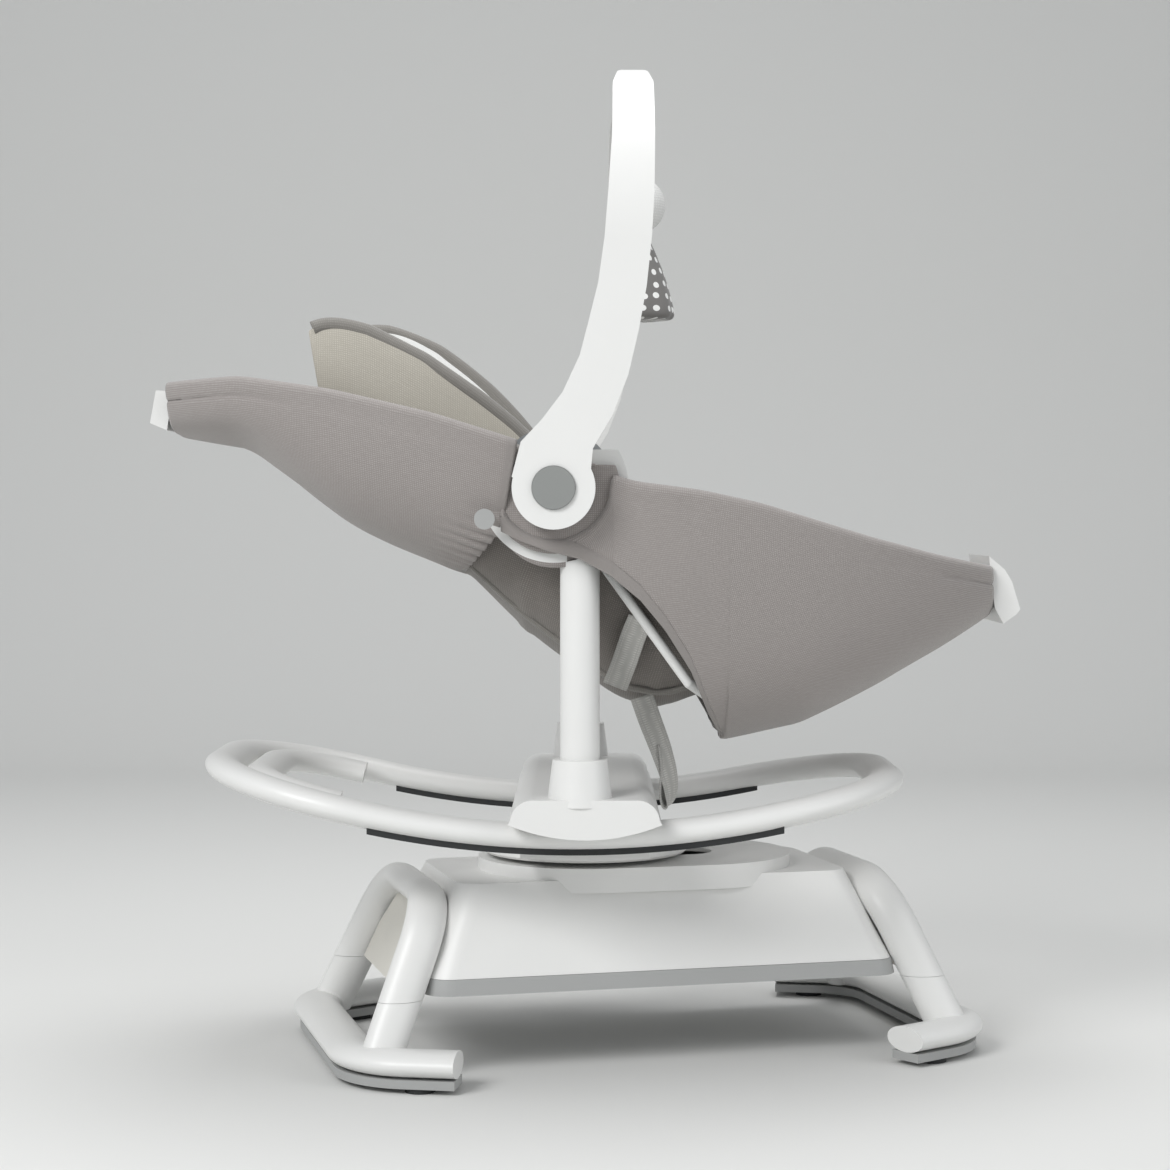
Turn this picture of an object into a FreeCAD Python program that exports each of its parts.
"""Baby swing that lifts off its floor base as a rocker, modelled in millimetres.

The floor is Z = 0, the turntable's axis is X = Y = 0, the head end of the seat is -X
and the two sides of the frame are called near (-Y) and far (+Y).  The floor base is
drawn along X about the turntable's axis and then turned by BaseTurn.
"""
import FreeCAD
import Part
import math
import os
import re
import Sketcher
from FreeCAD import Placement, Rotation, Vector

SIZES = {
    # floor base
    "BaseTurn": 14.7, "BaseShift": 42, "BaseTop": 150, "BaseLow": 79, "BaseTrayLow": 66,
    "BaseTopHalf": 80, "BaseLowHalf": 113, "BaseTopLength": 336, "BaseLowLength": 396,
    "BaseWall": 3.5, "PlatformTop": 160, "PlatformHalf": 91, "GlideTravel": 88, "SlotHalf": 24,
    "FrameWidth": 34, "FrameThick": 24, "FrameTopReach": 190, "FrameLean": 23,
    "FrameTopHeight": 139, "FrameCorner": 86, "FrameBend": 55, "FrameFootHalf": 122,
    "BarReach": 258, "BarSide": 128, "BarTipReach": 186, "BarTipSide": 160, "BarBend": 58,
    "BarWidth": 40, "BarHeight": 21, "BarLow": 11, "SoleHeight": 7, "PadRadius": 12, "PadHeight": 4,
    "PadReach": 214, "PadSide": 149,
    # mechanism
    "RodRadius": 4, "RodSide": 50, "RodHeight": 126, "SpindleRadius": 15, "RollerRadius": 14,
    "DiscRadius": 87, "DiscLow": 164, "DiscHeight": 8, "DockRadius": 38, "DockHeight": 14,
    # rocker
    "RailRadius": 787, "RailLowest": 194.6, "RailMiddle": -9, "RailSide": 155, "RailWidth": 31,
    "RailHeight": 21, "RailHeadX": -188, "RailFootX": 136, "BendRadius": 116, "StripHeight": 3,
    "StandSide": 117, "StandBend": 70, "StandReach": 82,
    "HousingHalf": 60, "HousingSide": 195, "HousingLow": 197, "HousingTop": 228,
    "PostX": -4, "PostSide": 171, "PostRadius": 15.5, "SleeveLow": 26, "SleeveTop": 21.5,
    "SleeveHeight": 36,
    # pivot, seat and toy bar
    "HubX": -24, "HubZ": 470, "PivotRadius": 58, "PivotFlat": 30, "PivotInner": 166, "PivotOuter": 182,
    "HubRadius": 32, "HubInner": 199, "HubOuter": 219, "CapRadius": 16.6, "ShaftRadius": 10,
    "SeatHalf": 197, "LinerHalf": 146, "TubeRadius": 8, "GripHalf": 60,
    "BarTopZ": 811, "BarThick": 14, "BarShoulder": 150, "ToyX": 44, "ToyZ": 792,
}
SIZE_NAMES = re.compile(r"\b(" + "|".join(SIZES) + r")\b")

doc = FreeCAD.newDocument("BabySwing")
sheet = doc.addObject("Spreadsheet::Sheet", "Sizes")
for row, (alias, number) in enumerate(SIZES.items(), start=1):
    sheet.set(f"A{row}", alias)
    sheet.set(f"B{row}", str(number))
    sheet.setAlias(f"B{row}", alias)
doc.recompute()
pieces = {}


def size(formula):
    """The number that a formula of sheet names stands for."""
    return float(sheet.evalExpression(str(formula)))


def bind(thing, **formulas):
    """Tie properties to formulas of the sheet; a double underscore stands for a dot."""
    for name, formula in formulas.items():
        linked = SIZE_NAMES.sub(r"Sizes.\1", str(formula))
        thing.setExpression(name.replace("__", "."), linked)


def place(thing, at, axis="Z"):
    """Put a primitive's own origin at three formulas, with its height along an axis."""
    turns = {"Z": Rotation(), "Y": Rotation(Vector(1, 0, 0), -90), "X": Rotation(Vector(0, 1, 0), 90)}
    thing.Placement = Placement(Vector(), turns[axis])
    bind(thing, Placement__Base__x=at[0], Placement__Base__y=at[1], Placement__Base__z=at[2])
    return thing


def cylinder(name, radius, height, at, axis="Z"):
    """A cylinder whose foot is at the given point."""
    thing = doc.addObject("Part::Cylinder", name)
    bind(thing, Radius=radius, Height=height)
    return place(thing, at, axis)


def cone(name, low, top, height, at, axis="Z"):
    """A cone whose foot is at the given point."""
    thing = doc.addObject("Part::Cone", name)
    bind(thing, Radius1=low, Radius2=top, Height=height)
    return place(thing, at, axis)


def box(name, lengths, at):
    """A box given by its three lengths and its lowest corner."""
    thing = doc.addObject("Part::Box", name)
    bind(thing, Length=lengths[0], Width=lengths[1], Height=lengths[2])
    return place(thing, at)


def raw(name, shape):
    """A helper solid made in code."""
    thing = doc.addObject("Part::Feature", name)
    thing.Shape = shape
    return thing


def cut(name, base, tool):
    """One solid less another."""
    thing = doc.addObject("Part::Cut", name)
    thing.Base = base
    thing.Tool = tool
    return thing


def fuse(name, shapes):
    """Several overlapping solids as one."""
    thing = doc.addObject("Part::MultiFuse", name)
    thing.Shapes = shapes
    return thing


def group(name, shapes):
    """Solids kept apart in one piece."""
    thing = doc.addObject("Part::Compound", name)
    thing.Links = shapes
    return thing


def piece(label, thing, turned=False):
    """Register a finished sub-part; a turned one belongs to the floor base."""
    thing.Label = label
    if turned:
        thing.Placement = Placement(Vector(), Rotation(Vector(0, 0, 1), size("BaseTurn")))
        bind(thing, Placement__Rotation__Angle="BaseTurn")
    pieces[label] = thing
    return thing


def sketch_on(body, role, corners):
    """A closed polygon of formula pairs on one of the body's origin planes."""
    sketch = body.newObject("Sketcher::SketchObject", body.Name + "Profile")
    plane = [f for f in body.Origin.OriginFeatures if f.Role == role][0]
    sketch.AttachmentSupport = [(plane, "")]
    sketch.MapMode = "FlatFace"
    points = [Vector(size(a), size(b), 0) for a, b in corners]
    count = len(points)
    for k in range(count):
        sketch.addGeometry(Part.LineSegment(points[k], points[(k + 1) % count]), False)
    for k in range(count):
        sketch.addConstraint(Sketcher.Constraint("Coincident", k, 2, (k + 1) % count, 1))
    for k, (a, b) in enumerate(corners):
        for kind, formula, value in (("DistanceX", a, points[k].x), ("DistanceY", b, points[k].y)):
            if abs(value) < 1e-9:
                line = -2 if kind == "DistanceX" else -1
                sketch.addConstraint(Sketcher.Constraint("PointOnObject", k, 1, line))
                continue
            index = sketch.addConstraint(Sketcher.Constraint(kind, -1, 1, k, 1, value))
            sketch.setExpression(f"Constraints[{index}]", SIZE_NAMES.sub(r"Sizes.\1", str(formula)))
    return sketch


def turned_body(name, corners, at=(0, 0, 0), axis="Z"):
    """A body of revolution: corners are (radius, height) formulas."""
    body = doc.addObject("PartDesign::Body", name)
    sketch = sketch_on(body, "XZ_Plane", corners)
    solid = body.newObject("PartDesign::Revolution", name + "Turn")
    solid.Profile = sketch
    solid.ReferenceAxis = (sketch, ["V_Axis"])
    solid.Angle = 360
    sketch.Visibility = False
    return place(body, at, axis)


def rounded_path(corners, radius):
    """A wire through corner points with an arc of one radius at each inner corner."""
    edges = []
    start = corners[0]
    for before, corner, after in zip(corners, corners[1:], corners[2:]):
        into = (corner - before).normalize()
        out = (after - corner).normalize()
        half_turn = into.getAngle(out) / 2
        reach = radius * math.tan(half_turn)
        first = corner - into * reach
        last = corner + out * reach
        inward = (out - into).normalize()
        middle = corner + inward * (radius / math.cos(half_turn) - radius)
        if (first - start).Length > 1e-6:
            edges.append(Part.LineSegment(start, first).toShape())
        edges.append(Part.Arc(first, middle, last).toShape())
        start = last
    if (corners[-1] - start).Length > 1e-6:
        edges.append(Part.LineSegment(start, corners[-1]).toShape())
    return Part.Wire(edges)


def oval_wire(centre, along, wide, width, thick):
    """An ellipse of two diameters square to a direction; wide is its long side's direction."""
    thin = along.cross(wide).normalize()
    wide = thin.cross(along).normalize()
    if width < thick:
        wide, thin, width, thick = thin, wide, thick, width
    curve = Part.Ellipse(centre + wide * width / 2, centre + thin * thick / 2, centre)
    return Part.Wire([curve.toShape()])


def oval_tube(path, wide, width, thick):
    """A solid oval bar along a wire."""
    first = path.Edges[0]
    start = first.Vertexes[0].Point if len(path.Edges) == 1 else path.OrderedVertexes[0].Point
    along = first.tangentAt(first.FirstParameter)
    section = oval_wire(start, along, wide, width, thick)
    return path.makePipeShell([section], True, False)


def arc_tube(points, radius):
    """A round bar along the arc through three points."""
    path = Part.Wire([Part.Arc(*points).toShape()])
    along = path.Edges[0].tangentAt(path.Edges[0].FirstParameter)
    return path.makePipeShell([Part.Wire([Part.Circle(points[0], along, radius).toShape()])], True, False)


def strap_run(p, q, across, width, thick):
    """One straight run of webbing between two points; across is its width's direction."""
    along = q - p
    across = Vector(across).normalize()
    normal = along.cross(across).normalize()
    corner = p - across * width / 2 - normal * thick / 2
    face = Part.Face(Part.makePolygon([corner, corner + across * width,
                                       corner + across * width + normal * thick,
                                       corner + normal * thick, corner]))
    return face.extrude(along)


def line_height(points, x):
    """Height of a line of (x, z) design points at x, eased between neighbours."""
    for (x0, z0), (x1, z1) in zip(points, points[1:]):
        if x <= x1:
            t = min(max((x - x0) / (x1 - x0), 0), 1)
            return z0 + (z1 - z0) * t
    return points[-1][1]


def plan_half(x, half, length=368):
    """Half width of the seat's boat-shaped plan: half * (1 - t^2.6)^0.62."""
    t = min(abs((x + 10) / length), 0.985)
    return half * (1 - t ** 2.6) ** 0.62


def hull_wire(x, half, rim, low):
    """A section of the seat's shell: straight across the rim, rounded below."""
    height = rim - low
    shape = [(1, 0), (0.99, 0.32), (0.94, 0.62), (0.80, 0.87), (0.50, 0.975), (0, 1)]
    points = [Vector(x, -half * y, rim - height * z) for y, z in shape]
    points += [Vector(x, half * y, rim - height * z) for y, z in reversed(shape[:-1])]
    curve = Part.BSplineCurve()
    curve.interpolate(points)
    return Part.Wire([Part.LineSegment(points[-1], points[0]).toShape(), curve.toShape()])


def trough(stations, half, rim_line, low_line, wall, open_ends=(True, True)):
    """An open trough along X: an outer hull less an inner one of the given wall."""
    outer = []
    inner = []
    last = len(stations) - 1
    for k, x in enumerate(stations):
        width = half(x)
        rim = line_height(rim_line, x)
        low = line_height(low_line, x)
        outer.append(hull_wire(x, width, rim, low))
        at = x
        if k == 0:
            at = x - 2 if open_ends[0] else x + wall
        if k == last:
            at = x + 2 if open_ends[1] else x - wall
        inner.append(hull_wire(at, width - wall, rim + 3, low + wall))
    return Part.makeLoft(outer, True).cut(Part.makeLoft(inner, True))


def side_prism(points, half=260):
    """A prism across the whole width from an outline of (x, z) points."""
    corners = [Vector(x, -half, z) for x, z in points]
    return Part.Face(Part.makePolygon(corners + corners[:1])).extrude(Vector(0, 2 * half, 0))


# ---------------------------------------------------------------- floor base
centre = size("BaseShift")
low_half = size("BaseLowHalf")


def rounded_plate(half_long, half_wide, radius, height, middle):
    """A rounded rectangle as a wire at a height."""
    wire = Part.makePlane(2 * half_long, 2 * half_wide, Vector(middle - half_long, -half_wide, height))
    return wire.OuterWire.makeOffset2D(-radius).makeOffset2D(radius)


def shell_solid(wall):
    """The tapering body of the base, shrunk by a wall."""
    low = rounded_plate(size("BaseLowLength") / 2 - wall, low_half - wall, 20, size("BaseLow"), centre)
    top = rounded_plate(size("BaseTopLength") / 2 - wall, size("BaseTopHalf") - wall, 20,
                        size("BaseTop") - wall, centre)
    return Part.makeLoft([low, top], True, True)


def obround(half, low, height, start, end):
    """A round-ended block between two centres on the X axis."""
    ends = [Part.makeCylinder(half, height, Vector(x, 0, low)) for x in (start, end)]
    middle = Part.makeBox(end - start, 2 * half, height, Vector(start, -half, low))
    return ends[0].fuse([ends[1], middle]).removeSplitter()


travel = size("GlideTravel")
wall = size("BaseWall")
platform_half = size("PlatformHalf")
platform_top = size("PlatformTop")
shell = shell_solid(0).fuse(obround(platform_half, 140, platform_top - 140, 0, travel)).removeSplitter()
hollow = shell_solid(wall).fuse(obround(platform_half - 8, 138, platform_top - wall - 138, 0, travel))
hollow = hollow.fuse(Part.makeLoft([
    rounded_plate(size("BaseLowLength") / 2 - wall, low_half - wall, 20, size("BaseLow") - 1, centre),
    rounded_plate(size("BaseLowLength") / 2 - wall, low_half - wall, 20, size("BaseLow") + 0.5, centre)],
    True, True))
slot = obround(size("SlotHalf"), 130, 60, 0, travel)
shell_skin = shell.cut(hollow).cut(slot)
inlet_hole = Part.makeCylinder(6, 24, Vector(centre + 186, 50, 92), Vector(1, 0, 0))

tray = rounded_plate(size("BaseLowLength") / 2 + 3, low_half + 3, 22, size("BaseTrayLow"), centre)
tray_top = rounded_plate(size("BaseLowLength") / 2 + 1, low_half + 1, 22, size("BaseLow") - 0.2, centre)
tray_well = rounded_plate(size("BaseLowLength") / 2 - 5, low_half - 5, 18, size("BaseTrayLow") + 3, centre)
tray_solid = Part.makeLoft([tray, tray_top], True, True)
tray_solid = tray_solid.cut(Part.Face(tray_well).extrude(Vector(0, 0, 40)))
tray_bay = Part.makeBox(70, 120, 10, Vector(centre + 70, -60, size("BaseTrayLow") - 1))
piece("base_tray", raw("BaseTray", tray_solid.cut(tray_bay)), turned=True)
piece("battery_door", group("BatteryDoorTurned", [
    box("BatteryDoor", (69, 119, 3), ("BaseShift + 70.5", -59.5, "BaseTrayLow"))]), turned=True)
screw_spots = [(sx * 150 + centre, sy * 85) for sx in (-1, 1) for sy in (-1, 1)]
screws = [cylinder(f"Screw{k}", 3.5, 3, (x, y, "BaseTrayLow - 3")) for k, (x, y) in enumerate(screw_spots)]
piece("case_screws", group("CaseScrews", screws), turned=True)

lean = math.radians(size("FrameLean"))
foot_drop = (size("FrameTopHeight") - 20) / math.cos(lean)
for end, name in ((-1, "head"), (1, "foot")):
    down = Vector(end * math.sin(lean), 0, -math.cos(lean))
    top = Vector(centre + end * size("FrameTopReach"), 0, size("FrameTopHeight"))
    side = Vector(0, 1, 0)
    corner = size("FrameCorner")
    half = size("FrameFootHalf")
    collar = (size("FrameTopHeight") - 64) / math.cos(lean)
    route = [top - side * half + down * foot_drop, top - side * corner, top + side * corner,
             top + side * half + down * foot_drop]
    arch = oval_tube(rounded_path(route, size("FrameBend")), down.cross(side), size("FrameWidth"),
                     size("FrameThick"))
    above = Part.makeBox(900, 500, 200, Vector(-450, -250, 64))
    piece(f"end_frame_{name}", raw(f"EndFrame{name}", arch.common(above)), turned=True)

    reach = end * size("BarReach")
    tip = end * size("BarTipReach")
    side_at = size("BarSide")
    tip_side = size("BarTipSide")
    plan = [(tip, -tip_side), (reach, -side_at), (reach, side_at), (tip, tip_side)]
    bar_low = size("BarLow")
    bar_height = size("BarHeight")
    points = [Vector(centre + x, y, bar_low + bar_height / 2) for x, y in plan]
    bar = oval_tube(rounded_path(points, size("BarBend")), Vector(0, 0, 1), bar_height, size("BarWidth"))
    legs = arch.common(Part.makeBox(900, 500, 50, Vector(-450, -250, 13.7)))
    piece(f"foot_frame_{name}", raw(f"FootFrame{name}", bar.fuse(legs).removeSplitter()), turned=True)
    sole_points = [Vector(p.x, p.y, size("PadHeight")) for p in points]
    sole_path = rounded_path(sole_points, size("BarBend"))
    start = sole_points[0]
    along = (sole_points[1] - start).normalize()
    across = along.cross(Vector(0, 0, 1))
    wide = size("BarWidth") * 0.36
    strip = Part.makePolygon([start - across * wide, start + across * wide,
                              start + across * wide + Vector(0, 0, size("SoleHeight")),
                              start - across * wide + Vector(0, 0, size("SoleHeight")),
                              start - across * wide])
    sole = sole_path.makePipeShell([strip], True, False).cut(bar)
    piece(f"foot_sole_{name}", raw(f"FootSole{name}", sole), turned=True)
    panel_top = top + down * 14 - Vector(end * 8, 0, 0)
    panel = [panel_top - side * 62, panel_top + side * 62, panel_top + side * 86 + down * 34,
             panel_top + side * 92 + down * 66, panel_top - side * 92 + down * 66,
             panel_top - side * 86 + down * 34]
    panel_solid = Part.Face(Part.makePolygon(panel + panel[:1])).extrude(Vector(end * 4, 0, 0))
    piece(f"end_panel_{name}", raw(f"EndPanel{name}", panel_solid.cut(arch).cut(shell).cut(inlet_hole)),
          turned=True)
    shell_skin = shell_skin.cut(arch)
piece("base_shell", raw("BaseShell", shell_skin.cut(inlet_hole)), turned=True)

pads = [cylinder(f"Pad{sx}{sy}".replace("-", "m"), "PadRadius", "PadHeight",
                 (f"BaseShift + {sx} * PadReach", f"{sy} * PadSide", 0)) for sx in (-1, 1) for sy in (-1, 1)]
piece("foot_pads", group("FootPads", pads), turned=True)

cells = [cylinder(f"Cell{k}", 12, 100, (f"BaseShift + 84 + {k * 26}", -50, 83), "Y") for k in (0, 1)]
piece("battery_cells", group("BatteryCells", cells), turned=True)
piece("circuit_board", group("CircuitBoardTurned", [
    box("CircuitBoard", (60, 70, 1.6), ("BaseShift + 70", -35, 112))]), turned=True)
piece("speaker", group("SpeakerTurned", [
    cone("Speaker", 12, 24, 16, ("BaseShift + 135", 0, 122))]), turned=True)
motor_parts = [cylinder("MotorCan", 16, 48, (-30, 18, 96), "Y"), box("GearCase", (40, 14, 34), (-50, 9, 77))]
piece("drive_motor", group("DriveMotor", [fuse("DriveMotorSolid", motor_parts)]), turned=True)
piece("drive_roller", group("DriveRollerTurned", [
    cylinder("DriveRoller", "RollerRadius", 12, (-30, -6, "RodHeight - 12 - RollerRadius - 0.4"), "Y")]),
    turned=True)
rods = [cylinder(f"Rod{k}", "RodRadius", 320, ("BaseShift - 160", f"{sy} * RodSide", "RodHeight"), "X")
        for k, sy in enumerate((-1, 1))]
piece("guide_rods", group("GuideRods", rods), turned=True)

# ---------------------------------------------------------------- gliding carriage
block = box("CarriageBlock", (90, 124, 22), (-45, -62, "RodHeight - 12"))
bores = [cylinder(f"RodBore{k}", "RodRadius + 0.3", 100, (-50, f"{sy} * RodSide", "RodHeight"), "X")
         for k, sy in enumerate((-1, 1))]
piece("carriage_block", group("CarriageTurned", [cut("Carriage", block, group("RodBores", bores))]),
      turned=True)
cover = obround(30, 142, 2.5, -82, 82).cut(Part.makeCylinder(size("SpindleRadius"), 20, Vector(0, 0, 140)))
piece("slot_cover", raw("SlotCover", cover), turned=True)
piece("spindle", cylinder("Spindle", "SpindleRadius", "DiscLow - RodHeight - 10", (0, 0, "RodHeight + 10")))

# ---------------------------------------------------------------- turntable
disc_corners = [(0, "DiscLow"), ("DiscRadius - 2", "DiscLow"), ("DiscRadius", "DiscLow + 2"),
                ("DiscRadius", "DiscLow + DiscHeight - 2"), ("DiscRadius - 2", "DiscLow + DiscHeight"),
                (0, "DiscLow + DiscHeight")]
piece("turntable_disc", turned_body("TurntableDisc", disc_corners))
piece("dock_block", cylinder("DockBlock", "DockRadius", "DockHeight", (0, 0, "DiscLow + DiscHeight")))

# ---------------------------------------------------------------- rocker
rail_r = size("RailRadius")
rail_x = size("RailMiddle")
rail_top_z = size("RailLowest") + rail_r


def rail_point(x, y, radius=rail_r):
    """A point of the rocking arc at x."""
    return Vector(x, y, rail_top_z - math.sqrt(radius ** 2 - (x - rail_x) ** 2))


channels = []
for sy, name in ((-1, "near"), (1, "far")):
    y = sy * size("RailSide")
    ends = [rail_point(x, y) for x in (size("RailHeadX"), rail_x, size("RailFootX"))]
    path = Part.Wire([Part.Arc(*ends).toShape()])
    rail = oval_tube(path, Vector(0, 1, 0), size("RailWidth"), size("RailHeight"))
    under = rail_r + size("RailHeight") / 2 + size("StripHeight")
    piece(f"rocker_rail_{name}", raw(f"Rail{name}", rail))
    channels.append(rail)
    low = [rail_point(x, y - 9, under) for x in (-172, rail_x, 166 - 9)]
    high = [rail_point(x, y - 9, rail_r) for x in (166 - 9, rail_x, -172)]
    band = Part.Wire([Part.Arc(*low).toShape(), Part.LineSegment(low[2], high[0]).toShape(),
                      Part.Arc(*high).toShape(), Part.LineSegment(high[2], low[0]).toShape()])
    strip = Part.Face(band).extrude(Vector(0, 18, 0))
    if name == "near":
        strips = []
    strips.append((name, strip, rail))

bends = {}
for end, name, x in ((-1, "head", size("RailHeadX")), (1, "foot", size("RailFootX"))):
    joint = rail_point(x, 0)
    slope = math.asin(abs(x - rail_x) / rail_r)
    out = Vector(end * math.cos(slope), 0, math.sin(slope))
    side = Vector(0, 1, 0)
    y = size("RailSide")
    reach = size("BendRadius")
    route = [joint - side * y, joint - side * y + out * reach, joint + side * y + out * reach,
             joint + side * y]
    path = rounded_path(route, reach - 0.01)
    bend = oval_tube(path, side, size("RailWidth"), size("RailHeight"))
    bends[name] = (joint, out, bend)

joint, out, bend = bends["head"]
side = Vector(0, 1, 0)
stand_y = size("StandSide")
stand_reach = size("StandReach")
pin_at = joint + out * 18
route = [joint + out * 10 - side * stand_y, joint + out * stand_reach - side * stand_y,
         joint + out * stand_reach + side * stand_y, joint + out * 10 + side * stand_y]
stand = oval_tube(rounded_path(route, size("StandBend")), side, size("RailWidth") - 2,
                  size("RailHeight") - 2)
pins = [Part.makeCylinder(4, 28, pin_at + side * sy * 120, side * sy) for sy in (-1, 1)]
bores = [Part.makeCylinder(4.08, 40, pin_at + side * sy * 120, side * sy) for sy in (-1, 1)]
pin_holes = bores[0].fuse(bores[1])
piece("kickstand", raw("Kickstand", stand.fuse(pins)))
piece("rocker_head_bend", raw("HeadBend", bend.cut(pin_holes)))
piece("rocker_foot_bend", raw("FootBend", bends["foot"][2]))
for name, strip, rail in strips:
    clear = strip.cut(rail)
    for other in bends.values():
        clear = clear.cut(other[2])
    lowest = [s for s in clear.Solids if s.BoundBox.ZMin < 190]
    piece(f"grip_strip_{name}", raw(f"Strip{name}", lowest[0]))

half_x = size("HousingHalf")
half_y = size("HousingSide")
top_z = size("HousingTop")
low_z = size("HousingLow")
arch_edge = Part.Arc(Vector(-half_x, -half_y, low_z + 12), Vector(0, -half_y, low_z),
                     Vector(half_x, -half_y, low_z + 12))
left = Part.Arc(Vector(half_x - 2, -half_y, top_z - 16), Vector(half_x - 7, -half_y, top_z - 5),
                Vector(half_x - 18, -half_y, top_z))
right = Part.Arc(Vector(18 - half_x, -half_y, top_z), Vector(7 - half_x, -half_y, top_z - 5),
                 Vector(2 - half_x, -half_y, top_z - 16))
outline = Part.Wire([
    arch_edge.toShape(), Part.LineSegment(arch_edge.EndPoint, left.StartPoint).toShape(), left.toShape(),
    Part.LineSegment(left.EndPoint, right.StartPoint).toShape(), right.toShape(),
    Part.LineSegment(right.EndPoint, arch_edge.StartPoint).toShape()])
housing = Part.Face(outline).extrude(Vector(0, 2 * half_y, 0))
housing = housing.cut(Part.makeBox(200, 2 * half_y - 44, 206 - 150 + 2, Vector(-100, 22 - half_y, 150)))
housing = housing.cut(Part.makeBox(2 * half_x - 16, 258, 60, Vector(8 - half_x, -129, 222 - 60)))
post_x = size("PostX")
post_r = size("PostRadius")
for sy in (-1, 1):
    at = Vector(post_x, sy * size("PostSide"), 222)
    sleeve = Part.makeCone(size("SleeveLow"), size("SleeveTop"), size("SleeveHeight"), at)
    sleeve = sleeve.common(Part.makeBox(200, 2 * (half_y + 2), 200, Vector(-100, -half_y - 2, 150)))
    housing = housing.fuse(sleeve).cut(Part.makeCylinder(post_r, 200, Vector(at.x, at.y, 210)))
piece("rocker_housing", raw("Housing", housing.removeSplitter()))
base_box = box("HubBaseBox", (104, 256, 30), (-52, -128, "DiscLow + DiscHeight + 1.5"))
dock_hole = cylinder("DockHole", "DockRadius + 0.5", "DockHeight + 1", (0, 0, "DiscLow + DiscHeight"))
piece("rocker_hub_base", cut("HubBase", base_box, dock_hole))

hub = Vector(size("HubX"), 0, size("HubZ"))
inner_y = size("PivotInner")
outer_y = size("PivotOuter")
for sy, name in ((-1, "near"), (1, "far")):
    pivot_start = "-PivotOuter" if sy < 0 else "PivotInner"
    disc = cylinder(f"PivotDisc{name}", "PivotRadius", "PivotOuter - PivotInner", ("HubX", pivot_start,
                                                                                   "HubZ"), "Y")
    shaft_start = "-HubOuter + 6" if sy < 0 else "149"
    shaft = cylinder(f"Shaft{name}", "ShaftRadius", "HubOuter - 155", ("HubX", shaft_start, "HubZ"), "Y")
    above = box(f"PivotAbove{name}", ("2 * PivotRadius", "PivotOuter - PivotInner + 2", "PivotRadius"),
                ("HubX - PivotRadius", f"{pivot_start} - 1", "HubZ + PivotFlat"))
    flat_disc = cut(f"PivotFlat{name}", disc, above)
    piece(f"pivot_housing_{name}", fuse(f"PivotHousing{name}", [flat_disc, shaft]))
    post = cylinder(f"PostTube{name}", "PostRadius", "HubZ - 240", ("PostX", f"{sy} * PostSide", 210))
    clear = cylinder(f"PostClear{name}", "PivotRadius", 90, ("HubX", f"{sy} * PostSide - 45", "HubZ"), "Y")
    piece(f"post_{name}", cut(f"Post{name}", post, clear))

# ---------------------------------------------------------------- seat frame and grips
tube_r = size("TubeRadius")
seat_frames = []
for sy, name in ((-1, "near"), (1, "far")):
    plate = Part.makeCylinder(48, 12, Vector(hub.x, sy * 151, hub.z), Vector(0, sy, 0))
    plate = plate.cut(Part.makeCylinder(size("ShaftRadius") + 0.08, 60, Vector(hub.x, sy * 130, hub.z),
                                        Vector(0, sy, 0)))
    back = arc_tube([Vector(-58, sy * 156, 492), Vector(-212, sy * 138, 530),
                     Vector(-346, sy * 46, 536)], tube_r)
    front = arc_tube([Vector(16, sy * 156, 462), Vector(196, sy * 130, 422),
                      Vector(344, sy * 32, 388)], tube_r)
    seat_frames.append(plate.fuse([back, front]).removeSplitter())
    piece(f"seat_frame_{name}", raw(f"SeatFrame{name}", seat_frames[-1]))
leg_tubes = []
for sy in (-1, 1):
    corners = [Vector(4, sy * 153, 424), Vector(82, sy * 150, 316), Vector(118, sy * 124, 290),
               Vector(326, sy * 30, 378)]
    runs = [Part.makeCylinder(4, (b - a).Length, a, b - a) for a, b in zip(corners, corners[1:])]
    balls = [Part.makeSphere(4, p) for p in corners]
    leg_tubes += runs + balls
cross = Part.makeCylinder(4, 60, Vector(326, -30, 378), Vector(0, 1, 0))
leg_frame = leg_tubes[0].fuse(leg_tubes[1:] + [cross])
for frame in seat_frames:
    leg_frame = leg_frame.cut(frame)
piece("leg_frame", raw("LegFrame", leg_frame))

grip_half = size("GripHalf")
head_outline = [(-354, 552), (-359, 525), (-345, 519), (-340, 551)]
foot_outline = [(335, 415), (348, 404), (354, 394), (361, 371), (358, 367), (347, 359), (340, 372),
                (337, 391)]
head_solid = side_prism(head_outline, grip_half)
foot_solid = side_prism(foot_outline, grip_half * 0.9)
piece("head_grip", raw("HeadGrip", head_solid.cut(Part.makeCompound(seat_frames))))
piece("foot_grip", raw("FootGrip", foot_solid.cut(Part.makeCompound(seat_frames))))

# ---------------------------------------------------------------- soft covers
rim_line = [(-352, 555), (-275, 558), (-200, 546), (-120, 527), (-38, 501), (35, 474), (89, 467), (136, 457),
            (226, 430), (281, 416), (346, 403)]
back_low = [(-352, 518), (-318, 513), (-276, 506), (-230, 471), (-188, 441), (-148, 421), (-130, 413),
            (-85, 370),
            (-50, 330)]
front_low = [(-80, 262), (113, 266), (175, 279), (242, 312), (293, 341), (346, 374)]
liner_low = [(-334, 528), (-276, 516), (-230, 484), (-188, 456), (-148, 434), (-98, 409), (-53, 362),
             (-20, 334),
             (28, 296), (65, 289), (86, 298), (175, 330), (242, 350), (293, 368), (332, 386)]
back_stations = [-338, -318, -280, -230, -180, -130, -85, -50]
front_stations = [-80, -20, 40, 113, 175, 242, 293, 333]
back = trough(back_stations, lambda x: plan_half(x, size("SeatHalf")), rim_line, back_low, 3)
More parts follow.
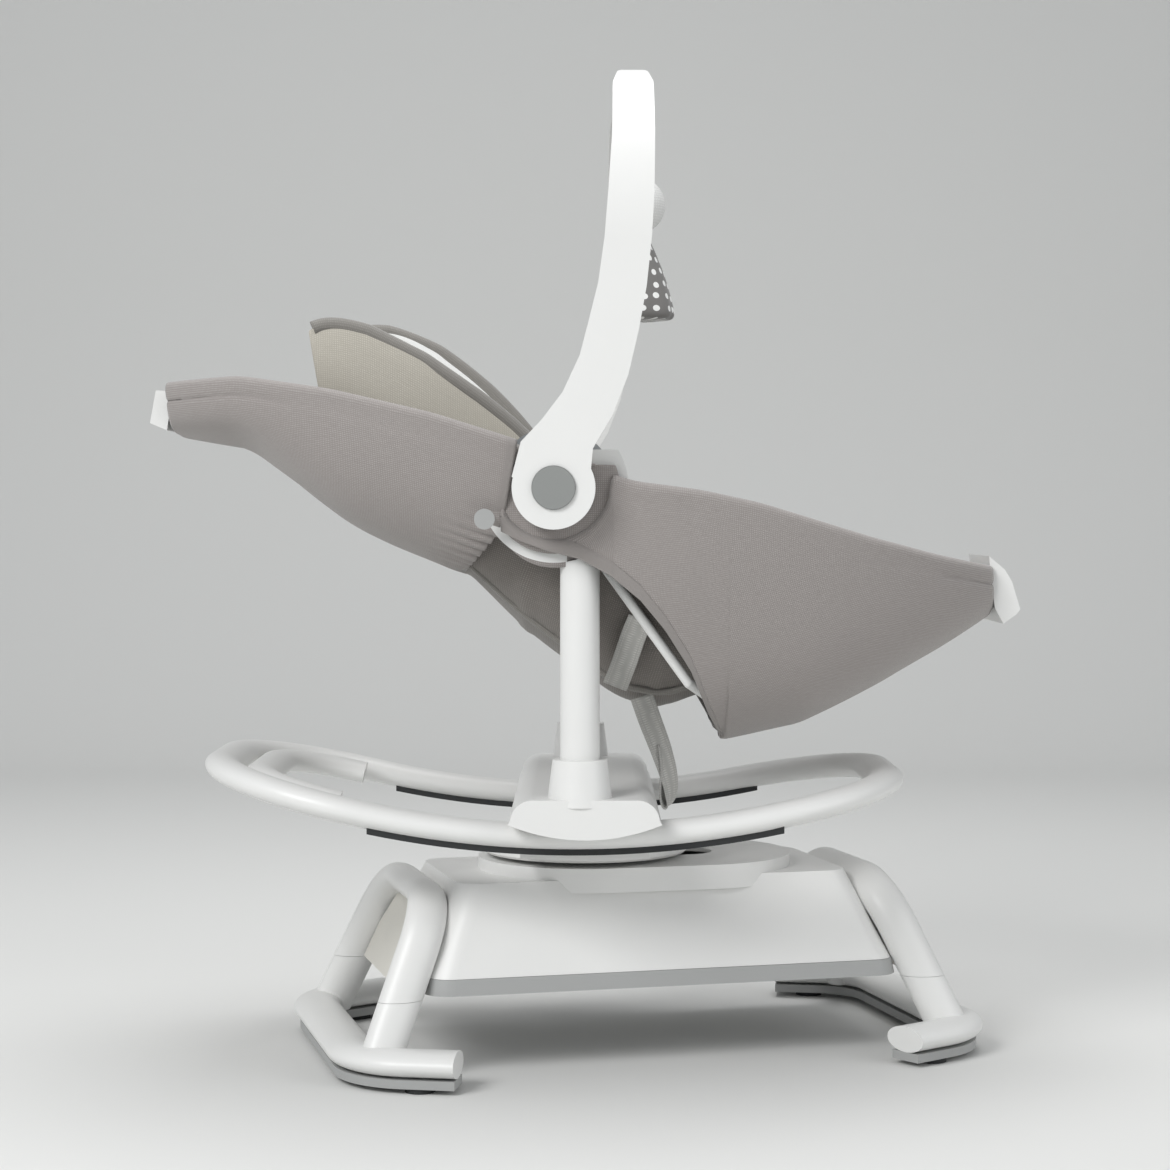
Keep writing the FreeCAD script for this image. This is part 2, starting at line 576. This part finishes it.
back_edge = [(-400, 600), (-53, 600), (-53, 499), (-61, 460), (-68, 437), (-77, 428), (-98, 398),
             (-120, 380),
             (-400, 380)]
frames = Part.makeCompound(seat_frames + [leg_frame])
piece("back_cover", raw("BackCover", back.common(side_prism(back_edge))))
front = trough(front_stations, lambda x: plan_half(x, size("SeatHalf") - 5), rim_line, front_low, 3)
front_edge = [(-66, 437), (-66, 600), (400, 600), (400, 240), (113, 240), (113, 266), (98, 292), (83, 327),
              (62, 360), (43, 383), (20, 402), (-4, 415), (-31, 422), (-50, 429)]
notch = Part.makeCylinder(46, 520, Vector(hub.x, -260, hub.z), Vector(0, 1, 0))
notch_box = Part.makeBox(60, 520, 90, Vector(-70, -260, 448))
end_slot = Part.makeBox(30, 110, 26, Vector(322, -55, 376))
front = front.cut(end_slot).common(side_prism(front_edge)).cut(notch).cut(notch_box)
piece("front_cover", raw("FrontCover", front))
liner_stations = [-334, -300, -250, -200, -150, -98, -53, 0, 28, 65, 100, 175, 242, 293, 330]
liner_rim = [(x, z - 8) for x, z in rim_line]
liner = trough(liner_stations, lambda x: plan_half(x, size("LinerHalf"), 350), liner_rim, liner_low, 5)
piece("seat_liner", raw("SeatLiner", liner.cut(frames)))
insert_rim = [(-222, 618), (-130, 578), (-37, 508)]
insert_low = [(-222, 494), (-188, 470), (-148, 446), (-98, 420), (-60, 396), (-37, 380)]
insert_stations = [-222, -175, -130, -85, -37]
insert = trough(insert_stations, lambda x: 112, insert_rim, insert_low, 9)
piece("newborn_insert", raw("Insert", insert))

# ---------------------------------------------------------------- harness
straps = [strap_run(Vector(38, 0, 308), Vector(24, 0, 344), (0, 1, 0), 20, 1.6)]
for sy in (-1, 1):
    straps.append(strap_run(Vector(16, sy * 134, 396), Vector(20, sy * 24, 362), (1, 0, 0.25), 20, 1.6))
piece("harness_straps", raw("Harness", Part.makeCompound(straps)))
anchors = [strap_run(Vector(43, sy * 145, 366), Vector(24, sy * 127, 312), (1, 0, 0.3), 20,
                     1.6) for sy in (-1, 1)]
piece("strap_anchors", raw("StrapAnchors", Part.makeCompound(anchors)))
tail_points = [Vector(52, -96, 290), Vector(70, -92, 262), Vector(76, -92, 222), Vector(71, -92, 213),
               Vector(66, -92, 222), Vector(64, -92, 258)]
tail = [strap_run(a, b, (0, 1, 0), 18, 1.6) for a, b in zip(tail_points, tail_points[1:])]
knees = [Part.makeCylinder(0.8, 18, p - Vector(0, 9, 0), Vector(0, 1, 0)) for p in tail_points[1:-1]]
piece("strap_tail", raw("StrapTail", tail[0].fuse(tail[1:] + knees)))
buckle = box("BuckleBody", (20, 44, 36), (11, -22, 345))
button_well = box("ButtonWell", (14, 20, 18), (21, -10, 354))
piece("buckle_housing", cut("BuckleHousing", buckle, button_well))
piece("buckle_button", box("BuckleButton", (7, 19, 17), (26, -9.5, 354.5)))
snaps = [cylinder(f"Snap{name}", 8, 2, (-77.5, start, 446), "Y") for name, start in (("near", -201.5),
                                                                                     ("far", 199.5))]
piece("cover_snaps", group("CoverSnaps", snaps))

# ---------------------------------------------------------------- toy bar and toy
left_edge = [(-56, 478), (-49, 505), (-33, 522), (-17, 543), (-4, 571), (3, 598), (10, 626), (15, 662),
             (18, 700),
             (21, 745), (22, 791), (26, 805)]
right_edge = [(50, 805), (54, 791), (54, 745), (53, 700), (51, 662), (47, 624), (41, 590), (33, 556),
              (21, 525),
              (6, 500), (4, 478)]
band = Part.Wire(Part.makePolygon([Vector(x, -300, z) for x, z in left_edge]).Edges
                 + [Part.Arc(Vector(26, -300, 805), Vector(38, -300, 811), Vector(50, -300, 805)).toShape()]
                 + Part.makePolygon([Vector(x, -300, z) for x, z in right_edge]).Edges
                 + [Part.LineSegment(Vector(4, -300, 478), Vector(-56, -300, 478)).toShape()])
band_solid = Part.Face(Part.Wire(Part.__sortEdges__(band.Edges))).extrude(Vector(0, 600, 0))
hub_in = size("HubInner")
hub_out = size("HubOuter")
hoop = rounded_path([Vector(0, -hub_out, 400), Vector(0, -hub_out, size("BarTopZ")),
                            Vector(0, hub_out, size("BarTopZ")), Vector(0, hub_out,
                                                                        400)], size("BarShoulder"))
thick = size("BarThick")
inner_hoop = rounded_path([Vector(0, thick - hub_out, 400),
                           Vector(0, thick - hub_out, size("BarTopZ") - thick),
                           Vector(0, hub_out - thick, size("BarTopZ") - thick),
                           Vector(0, hub_out - thick, 400)], size("BarShoulder") - thick)


def hoop_face(path):
    """The area under a hoop, closed by its foot."""
    ends = [path.OrderedVertexes[0].Point, path.OrderedVertexes[-1].Point]
    return Part.Face(Part.Wire(path.Edges + [Part.LineSegment(ends[1], ends[0]).toShape()]))


arch_block = hoop_face(hoop).extrude(Vector(200, 0, 0)).cut(hoop_face(inner_hoop).extrude(Vector(200, 0, 0)))
arch_block.translate(Vector(-100, 0, 0))
arch = arch_block.common(band_solid)
for sy in (-1, 1):
    ring = Part.makeCylinder(size("HubRadius"), hub_out - hub_in, Vector(hub.x, sy * hub_in, hub.z),
                             Vector(0, sy, 0))
    arch = arch.fuse(ring)
for sy in (-1, 1):
    arch = arch.cut(Part.makeCylinder(size("CapRadius") + 0.3, 8,
                                      Vector(hub.x, sy * (hub_out - 5), hub.z), Vector(0, sy, 0)))
    arch = arch.cut(Part.makeCylinder(size("ShaftRadius") + 0.3, 60, Vector(hub.x, sy * 170, hub.z),
                                      Vector(0, sy, 0)))
piece("toy_bar", raw("ToyBar", arch.removeSplitter()))
for name, start in (("near", "-HubOuter - 2.5"), ("far", "HubOuter - 1")):
    piece(f"hub_button_{name}", cylinder(f"HubButton{name}", "CapRadius", 3.5, ("HubX", start, "HubZ"), "Y"))
ribbon = box("ToyRibbon", (4, 8, 78), ("ToyX - 2", -4, "ToyZ - 76"))
head = doc.addObject("Part::Sphere", "ToyHead")
bind(head, Radius=24)
place(head, ("ToyX", 0, 711))
toy_pin = cylinder("ToyPin", 2.5, 12, ("ToyX", -6, "ToyZ"), "Y")
piece("toy_head", fuse("ToyHeadAndRibbon", [ribbon, toy_pin, head]))
piece("toy_body", cone("ToyBody", 32, 12, 67, ("ToyX", 0, 613)))

# ---------------------------------------------------------------- controls
panel_out = Vector(centre + size("FrameTopReach") + 17, -52, 96)
dial_solid = Part.makeCylinder(13, 11, panel_out, Vector(math.cos(lean), 0, math.sin(lean)))
button_hole = Part.makeCylinder(5.3, 30, panel_out + Vector(math.cos(lean), 0, math.sin(lean)) * 5,
                                Vector(math.cos(lean), 0, math.sin(lean)))
piece("control_dial", raw("ControlDial", dial_solid.cut(button_hole)), turned=True)
button_at = panel_out + Vector(math.cos(lean), 0, math.sin(lean)) * 8
piece("power_button", raw("PowerButton",
                          Part.makeCylinder(5, 4.5, button_at, Vector(math.cos(lean), 0, math.sin(lean)))),
      turned=True)
inlet = cylinder("PowerInlet", 6, 16, ("BaseShift + 190", 50, 92), "X")
piece("power_inlet", group("PowerInletTurned", [inlet]), turned=True)

# ---------------------------------------------------------------- check and export
doc.recompute()
for thing in doc.Objects:
    if {"Invalid", "Error"} & set(thing.State):
        raise SystemExit(f"{thing.Label} is {thing.State}")
os.makedirs("parts", exist_ok=True)
for label, thing in pieces.items():
    shape = thing.Shape
    if shape.isNull() or not shape.isValid() or not shape.Solids:
        raise SystemExit(f"{label} is not a valid solid")
    shape.exportStep(os.path.join("parts", f"{label}.step"))
    print(label, len(shape.Solids), round(shape.Volume / 1000, 1), "cm3")
